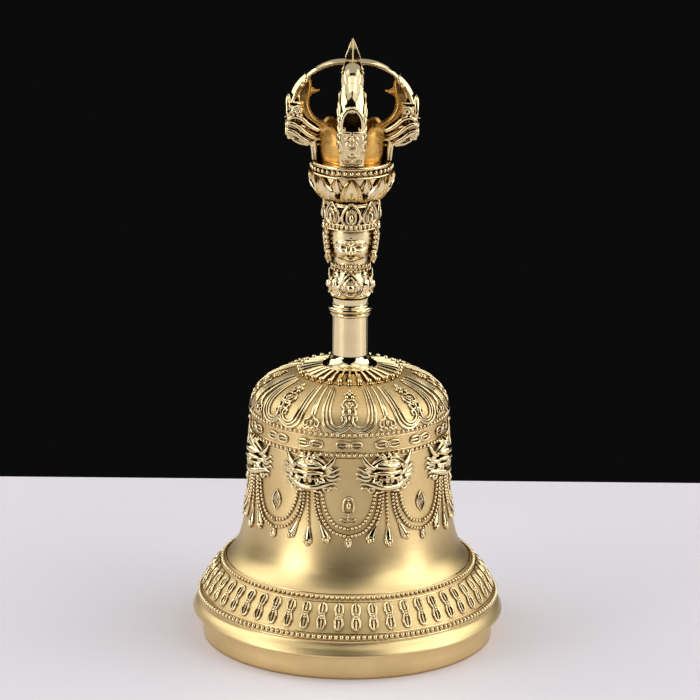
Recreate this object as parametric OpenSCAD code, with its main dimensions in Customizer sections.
// Hand bell with a five-pronged handle.
// A cast bell carries a stack of bored handle castings. One tie rod clamps the stack between
// the crown nut inside the bell and the centre prong on top. The clapper hangs on a swivel eye.
// The bell stands on its rim at z = 0, its axis is Z, and the face on the handle looks along -Y.

/* [Bell] */
// Diameter over the flared lip
lip_d = 92; // [88:0.5:96]
// Diameter of the resting rim below the lip
rim_d = 85.8; // [84:0.2:87]
// Diameter of the narrow middle of the bell
waist_d = 58; // [56:0.5:60]
// Radius of the round beads that edge the ornament bands
bead_r = 0.75; // [0.5:0.05:1]
// How far the masks stand out of the bell wall
mask_depth = 2.6; // [1.5:0.1:3]

/* [Handle] */
// Outer diameter of the plain stem tube
tube_d = 10.8; // [10:0.1:12]
// Outer diameter of the rim that carries the beads under the prongs
throne_d = 24.6; // [24:0.1:26]
// Number of flutes in the rosette at the foot of the stem
flutes = 32; // [24:2:36]
// Number of beads round the throne rim
throne_beads = 40; // [32:2:44]
// Width of a prong at its root
prong_root_w = 7.4; // [6.6:0.1:8]
// Width of a prong at its tip
prong_tip_w = 4.8; // [4:0.1:5.4]

/* [Tie rod] */
// Diameter of the tie rod
rod_d = 5; // [4.6:0.1:5.2]
// Radial clearance of the castings on the tie rod
rod_gap = 0.15; // [0.1:0.05:0.3]

/* [Clapper] */
// Diameter of the clapper ball
ball_d = 11.2; // [9:0.2:11.6]
// Diameter of the clapper rod
clapper_rod_d = 3.6; // [3:0.1:4]
// Radial running clearance of the swivel shank and of the eye on its bar
run_gap = 0.05; // [0.03:0.01:0.1]

/* [Hidden] */
$fn = 96;

brass_satin = "#cdb67c";
brass_bright = "#e3c67e";
steel = "#9a9a9c";

// Heights of the joints in the stack
crown_z = 80.4;
ceiling_z = 78;
foot_z = 86;
tube_z = 98;
ring_z = 103.4;
vase_z = 113;
head_z = 125.4;
leaf_z = 133;
throne_z = 140.9;
rim_z = 144.6;
hub_z = 150.4;
tip_z = 180;
spear_z = 172.4;

// Radii that follow from the driving dimensions
lip_r = lip_d / 2;
rim_r = rim_d / 2;
waist_r = waist_d / 2;
tube_r = tube_d / 2;
throne_r = throne_d / 2;
rod_r = rod_d / 2;
bore_r = rod_r + rod_gap;
seat_r = 15.8;
rosette_r = 15.2;
flute_r = 0.6;
hub_r = 5.5;
pillar_out = 11.3;
pillar_in = 9.4;

// Hardware inside the crown
washer_t = 1.4;
nut_top = ceiling_z - washer_t;
nut_h = 6.4;
nut_flats = 10;
ledge_z = nut_top - nut_h + 2;
rod_end_z = ledge_z + 2;
rod_top_z = 156;
shank_r = 1.6;
shank_head_r = 2.3;
shank_head_t = 1.4;
bar_z = 64.5;
bar_r = 1.25;
eye_r = 2.75;
eye_t = 2.4;
leg_y = 3.5;
leg_r = 1.3;
ball_z = 12.5;

// A point on the Catmull-Rom curve between b and c
function curve_point(a, b, c, d, t) =
    0.5 * (2 * b + (c - a) * t + (2 * a - 5 * b + 4 * c - d) * t * t
    + (3 * b - a - 3 * c + d) * t * t * t);

// A smooth open line through the points p, with n steps between two points
function smooth(p, n) = concat(
    [for (i = [0:len(p) - 2]) for (k = [0:n - 1])
        curve_point(p[max(i - 1, 0)], p[i], p[i + 1], p[min(i + 2, len(p) - 1)], k / n)],
    [p[len(p) - 1]]);

function reversed(p) = [for (i = [len(p) - 1:-1:0]) p[i]];

// Radius on the flare: 0 is the waist and 1 is the lip
function flare(t) = waist_r + t * (lip_r - waist_r);

// Outside of the bell from the lip up to the seat of the stem foot
outer_line = concat(
    [[rim_r, 0], [rim_r, 6.6]],
    smooth([[rim_r + 1.6, 6.8], [lip_r - 0.3, 7.4], [lip_r, 8.7], [lip_r - 0.5, 10.3],
        [flare(0.87), 13.1], [flare(0.73), 17.6], [flare(0.61), 20.4], [flare(0.47), 22.8],
        [flare(0.34), 25.2], [flare(0.235), 28.2], [flare(0.16), 32], [flare(0.105), 36.5],
        [flare(0.05), 43], [flare(0.01), 54], [waist_r, 66], [waist_r - 0.3, 71.4],
        [waist_r - 2.2, 75.2], [waist_r - 5.8, 77.9], [waist_r - 9.8, 79.6],
        [seat_r, crown_z]], 4));

// Inside of the bell from the mouth up to the flat ceiling
inner_line = smooth([[38.6, 0], [38.9, 4], [38.6, 9], [37.6, 14], [35.8, 19.5], [32.6, 24.5],
    [30.2, 28.5], [28.7, 33], [27.8, 38.5], [27.1, 46], [26.7, 54], [26.4, 64], [26.1, 70],
    [25.1, 73.2], [22.4, 75.7], [18.2, 77.4], [14, ceiling_z]], 4);

// Side of one prong as [distance from the axis, height]: the outer edge from the tip down to
// the snout, the underside of the jaw, the pillar, and the inner edge with its barb
prong_outer = smooth([[2.2, 174.5], [5.5, 174.1], [8.6, 172.9], [11.6, 171.2], [14.2, 168.9],
    [16, 166.6], [17.2, 164.4]], 3);
prong_hood = [[18.4, 164.6], [18.9, 163], [18.9, 156.6]];
prong_snout = smooth([[19.3, 155.6], [20.2, 154.9], [20.2, 152.7], [19, 151.6], [17.6, 150.2],
    [15.2, 150.5], [12.8, 149.5]], 3);
prong_pillar = [[pillar_out, 149.2], [pillar_out, rim_z], [pillar_in, rim_z],
    [pillar_in, 148.6], [hub_r + 0.1, 148.2], [hub_r + 0.1, 154]];
prong_inner = concat(
    smooth([[7, 154.9], [10, 157.3], [12, 159.6], [12.3, 161.4], [11, 163.4]], 3),
    [[9.3, 164.6]],
    smooth([[11.3, 165.2], [12.3, 166.6], [11.3, 168.8], [8.9, 170.8], [6.2, 171.7],
        [2.2, 172.3]], 3));

// Front of one prong as [half width, height]
prong_half = [[prong_tip_w / 2, 175.5], [prong_tip_w / 2, 171.5], [3.3, 165.2], [4.1, 164.6],
    [4.1, 163], [3.5, 162.2], [3.5, 160.6], [4.2, 158.4], [4.2, 151.2],
    [prong_root_w / 2, 150], [prong_root_w / 2 - 0.3, rim_z - 1]];

// Solid of revolution with the tie rod's bore
module turned(line) {
    difference() {
        rotate_extrude() polygon(line);
        stud_bore();
    }
}

module stud_bore() {
    translate([0, 0, crown_z - 10]) cylinder(h = rod_top_z - crown_z + 10.5, r = bore_r);
}

// Copies of a child spread evenly round the axis
module around(count, start = 0) {
    for (i = [0:count - 1]) rotate(start + i * 360 / count) children();
}

// Round bead line that runs round the bell
module bead_line(r, z) {
    translate([0, 0, z]) rotate_extrude() translate([r, 0]) circle(r = bead_r, $fn = 24);
}

module bell_shell() {
    color(brass_satin) difference() {
        union() {
            rotate_extrude() polygon(concat(outer_line, [[0, crown_z], [0, ceiling_z]],
                reversed(inner_line)));
            bead_line(flare(0.87) - 0.15, 13.1);
            bead_line(flare(0.47) - 0.05, 22.8);
            bead_line(waist_r, 63.4);
            bead_line(waist_r - 0.1, 69.6);
            around(8, 22.5) mask_boss();
        }
        translate([0, 0, ceiling_z - 1]) cylinder(h = 5, r = bore_r);
    }
}

// Raised block behind one of the eight masks below the shoulder
module mask_boss() {
    translate([waist_r - 1, 0, 58.4]) rotate([0, 90, 0])
        cylinder(h = 1 + mask_depth, r1 = 6.6, r2 = 4.4);
}

module stem_foot() {
    color(brass_bright) difference() {
        union() {
            rotate_extrude() polygon(concat(
                [[0, crown_z], [rosette_r, crown_z], [rosette_r, 81.1]],
                smooth([[rosette_r - 0.2, 81.5], [12, 82.2], [8.4, 82.9], [6.6, 83.9],
                    [5.9, 85], [5.6, foot_z]], 4), [[0, foot_z]]));
            around(flutes, 180 / flutes) translate([rosette_r - 0.1, 0, crown_z + 0.85])
                sphere(r = 0.8, $fn = 24);
        }
        around(flutes) translate([rosette_r + 1, 0, 81.4]) rotate([0, -78, 0])
            cylinder(h = 7.6, r = flute_r, $fn = 24);
        stud_bore();
    }
}

module stem_tube() {
    color(brass_bright) difference() {
        translate([0, 0, foot_z]) cylinder(h = tube_z - foot_z, r = tube_r);
        stud_bore();
    }
}

module stem_ring() {
    color(brass_bright) difference() {
        union() {
            translate([0, 0, tube_z]) cylinder(h = ring_z - tube_z, r = 5.1);
            for (ring = [[tube_z + 1.4, 5, 1.3], [tube_z + 3.4, 5, 0.75], [tube_z + 4.7, 5.1, 0.68]])
                translate([0, 0, ring[0]]) rotate_extrude()
                    translate([ring[1], 0]) circle(r = ring[2], $fn = 32);
        }
        stud_bore();
    }
}

module vase_knop() {
    color(brass_bright) difference() {
        union() {
            rotate_extrude() polygon(concat([[0, ring_z]], smooth([[4.8, ring_z], [5.9, 104.4],
                [6.9, 106.2], [7, 108.6], [6.6, 110.6], [5.6, 112], [5.2, vase_z]], 4),
                [[0, vase_z]]));
            around(8) translate([6.6, 0, 107.4]) sphere(r = 1.4, $fn = 32);
        }
        stud_bore();
    }
}

module goddess_head() {
    color(brass_bright) difference() {
        union() {
            rotate_extrude() polygon(concat([[0, vase_z]], smooth([[5.2, vase_z], [6, 114.4],
                [7, 117], [7.3, 120], [7.2, 123], [6.8, head_z]], 4), [[0, head_z]]));
            for (side = [-1, 1]) translate([side * 7, 0, 116]) cylinder(h = 7, r = 1.1, $fn = 32);
            translate([0, -6.6, 117.8]) cylinder(h = 2.6, r1 = 1.1, r2 = 0.5, $fn = 24);
        }
        stud_bore();
    }
}

module head_crown() {
    color(brass_bright) difference() {
        union() {
            translate([0, 0, head_z]) cylinder(h = leaf_z - head_z, r = 7);
            translate([0, 0, head_z]) cylinder(h = 1.8, r = 8.4);
            around(8, -90) crown_leaf();
        }
        stud_bore();
    }
}

// One pointed leaf of the crown
module crown_leaf() {
    translate([6.6, 0, head_z + 1.4]) rotate([90, 0, 90]) linear_extrude(1.6)
        polygon([[-2.6, 0], [2.6, 0], [2.4, 3], [0, 6.1], [-2.4, 3]]);
}

module lotus_throne() {
    color(brass_bright) difference() {
        union() {
            rotate_extrude() polygon(concat([[0, leaf_z]], smooth([[6.8, leaf_z], [7.9, 134],
                [9.2, 135.4], [10.6, 137.3], [throne_r - 1.1, 139.2], [throne_r - 1.3, throne_z]],
                4), [[0, throne_z]]));
            around(8, 22.5) throne_petal();
        }
        translate([0, 0, throne_z]) cylinder(h = 5, r = throne_r + 5);
        stud_bore();
    }
}

// One pointed petal that leans out under the throne rim
module throne_petal() {
    translate([6.9, 0, leaf_z + 0.4]) rotate([0, 31, 0]) rotate([90, 0, 90]) linear_extrude(1.3)
        polygon([[-1.6, 0], [1.6, 0], [3.4, 3.2], [3.7, 6.2], [0, 8.6], [-3.7, 6.2],
            [-3.4, 3.2]]);
}

module throne_rim() {
    color(brass_bright) difference() {
        union() {
            rotate_extrude() polygon([[0, throne_z], [throne_r - 0.6, throne_z],
                [throne_r - 0.1, throne_z + 0.4], [throne_r - 0.1, throne_z + 0.8],
                [throne_r - 0.9, throne_z + 0.9], [throne_r - 0.9, rim_z - 1],
                [throne_r, rim_z - 0.9], [throne_r, rim_z - 0.2],
                [throne_r - 0.3, rim_z], [0, rim_z]]);
            around(throne_beads) translate([throne_r - 0.8, 0, throne_z + 1.8])
                sphere(r = 0.68, $fn = 24);
        }
        stud_bore();
    }
}

module prong_hub() {
    color(brass_bright) turned([[0, rim_z], [pillar_in - 0.1, rim_z], [pillar_in - 0.2, 145.8],
        [8.4, 147], [7, 147.8], [hub_r, 148], [hub_r, hub_z - 0.8], [hub_r - 0.8, hub_z],
        [0, hub_z]]);
}

// One curved prong that rises from an open-mouthed head, on the +X side
module prong() {
    color(brass_bright) intersection() {
        rotate([90, 0, 0]) linear_extrude(20, center = true)
            polygon(concat(prong_outer, prong_hood, prong_snout, prong_pillar, prong_inner));
        rotate([90, 0, 90]) linear_extrude(24) polygon(concat(prong_half,
            reversed([for (p = prong_half) [-p[0], p[1]]])));
    }
}

module prong_right() { prong(); }
module prong_back() { rotate(90) prong(); }
module prong_left() { rotate(180) prong(); }
module prong_front() { rotate(-90) prong(); }

module centre_prong() {
    color(brass_bright) difference() {
        union() {
            rotate_extrude() polygon(concat([[0, hub_z]], smooth([[4.3, hub_z], [4.4, 151.2],
                [3.7, 152.4], [3.5, 156], [3.2, 160], [2.5, 162], [3.1, 163.6], [2.5, 165.2],
                [2.1, 169], [2.4, spear_z]], 4), [[0, spear_z]]));
            translate([0, 0, spear_z - 0.4])
                cylinder(h = tip_z - spear_z + 0.4, r1 = 2.75, r2 = 0, $fn = 4);
        }
        translate([0, 0, hub_z - 1]) cylinder(h = rod_top_z - hub_z + 1.5, r = rod_r + 0.05);
    }
}

module tie_rod() {
    color(steel) translate([0, 0, rod_end_z]) cylinder(h = rod_top_z - rod_end_z, r = rod_r);
}

module crown_washer() {
    color(steel) difference() {
        translate([0, 0, nut_top]) cylinder(h = washer_t, r = 8);
        translate([0, 0, nut_top - 1]) cylinder(h = washer_t + 2, r = bore_r);
    }
}

module crown_nut() {
    color(steel) difference() {
        translate([0, 0, nut_top - nut_h])
            cylinder(h = nut_h, r = nut_flats / 2 / cos(30), $fn = 6);
        translate([0, 0, ledge_z]) cylinder(h = nut_h, r = rod_r + 0.05);
        translate([0, 0, nut_top - nut_h - 1]) cylinder(h = nut_h, r = shank_r + run_gap);
    }
}

// Stirrup with a headed shank that turns in the nut, and a cross bar that carries the clapper
module swivel_eye() {
    bridge_z = bar_z + eye_r + 0.6;
    bridge_t = 1.8;
    color(steel) union() {
        translate([0, 0, ledge_z + run_gap]) cylinder(h = shank_head_t, r = shank_head_r);
        translate([0, 0, bridge_z]) cylinder(h = ledge_z + run_gap - bridge_z, r = shank_r);
        translate([-1.8, -leg_y - leg_r, bridge_z]) cube([3.6, 2 * (leg_y + leg_r), bridge_t]);
        for (side = [-1, 1]) translate([0, side * leg_y, bar_z - 1.6])
            cylinder(h = bridge_z - bar_z + 1.7, r = leg_r);
        translate([0, leg_y, bar_z]) rotate([90, 0, 0]) cylinder(h = 2 * leg_y, r = bar_r);
    }
}

module clapper_rod() {
    color(brass_bright) difference() {
        union() {
            translate([0, eye_t / 2, bar_z]) rotate([90, 0, 0]) cylinder(h = eye_t, r = eye_r);
            translate([0, 0, ball_z - ball_d / 2 - 1])
                cylinder(h = bar_z - ball_z + ball_d / 2 - 1, r = clapper_rod_d / 2);
            translate([0, 0, ball_z + ball_d / 2 - 0.4]) cylinder(h = 8, r1 = 3, r2 = 1.8);
            translate([0, 0, ball_z - ball_d / 2 - 1]) cylinder(h = 1.2, r1 = 1.9, r2 = 2.4);
        }
        translate([0, eye_t, bar_z]) rotate([90, 0, 0])
            cylinder(h = 2 * eye_t, r = bar_r + run_gap);
    }
}

module clapper_ball() {
    color(brass_satin) difference() {
        translate([0, 0, ball_z]) sphere(r = ball_d / 2);
        translate([0, 0, ball_z - ball_d]) cylinder(h = 2 * ball_d, r = clapper_rod_d / 2);
        translate([0, 0, ball_z + ball_d / 2 - 0.4]) cylinder(h = 8, r = 4);
        translate([0, 0, ball_z - ball_d / 2 - 7.8]) cylinder(h = 8, r = 4);
    }
}

bell_shell();
stem_foot();
stem_tube();
stem_ring();
vase_knop();
goddess_head();
head_crown();
lotus_throne();
throne_rim();
prong_hub();
prong_front();
prong_right();
prong_back();
prong_left();
centre_prong();
tie_rod();
crown_washer();
crown_nut();
swivel_eye();
clapper_rod();
clapper_ball();
